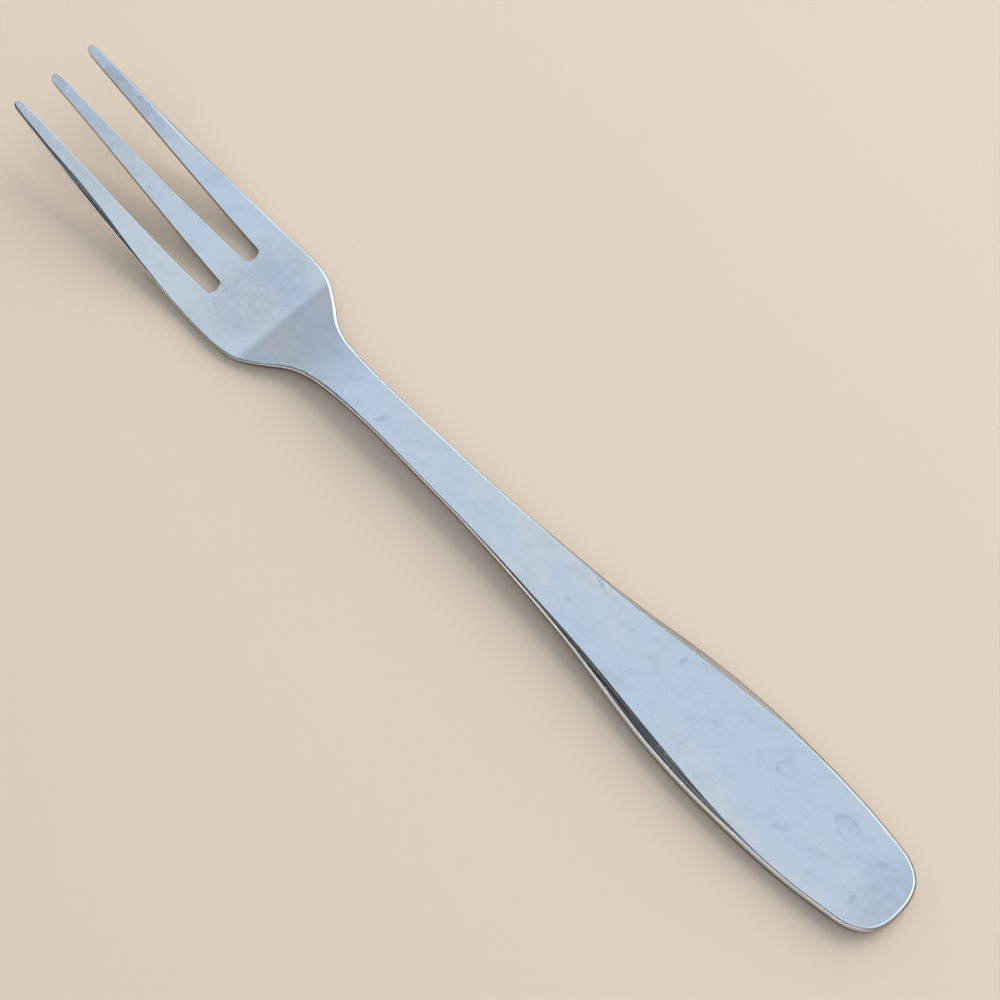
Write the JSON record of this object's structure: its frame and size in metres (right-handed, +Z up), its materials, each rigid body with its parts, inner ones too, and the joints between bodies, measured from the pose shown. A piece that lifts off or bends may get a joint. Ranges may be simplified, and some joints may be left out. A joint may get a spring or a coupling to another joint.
{
  "type": "pastry fork",
  "caption": "Polished stainless steel pastry fork with slim tines, a narrow neck and a paddle-shaped handle with ground edges.",
  "frame": {"origin": "on the table, under the middle of the fork's length, on its plane of symmetry", "axes": "+X along the fork from the tips of the tines to the end of the handle, +Z up, out of the face of the fork, +Y to the right of the fork seen from above with the tines away from the viewer"},
  "size_m": [0.15, 0.0176, 0.0102],
  "materials": {
    "steel": "polished stainless steel with light marks of use"
  },
  "bodies": {
    "root": {"fork": "steel"}
  },
  "joints": []
}
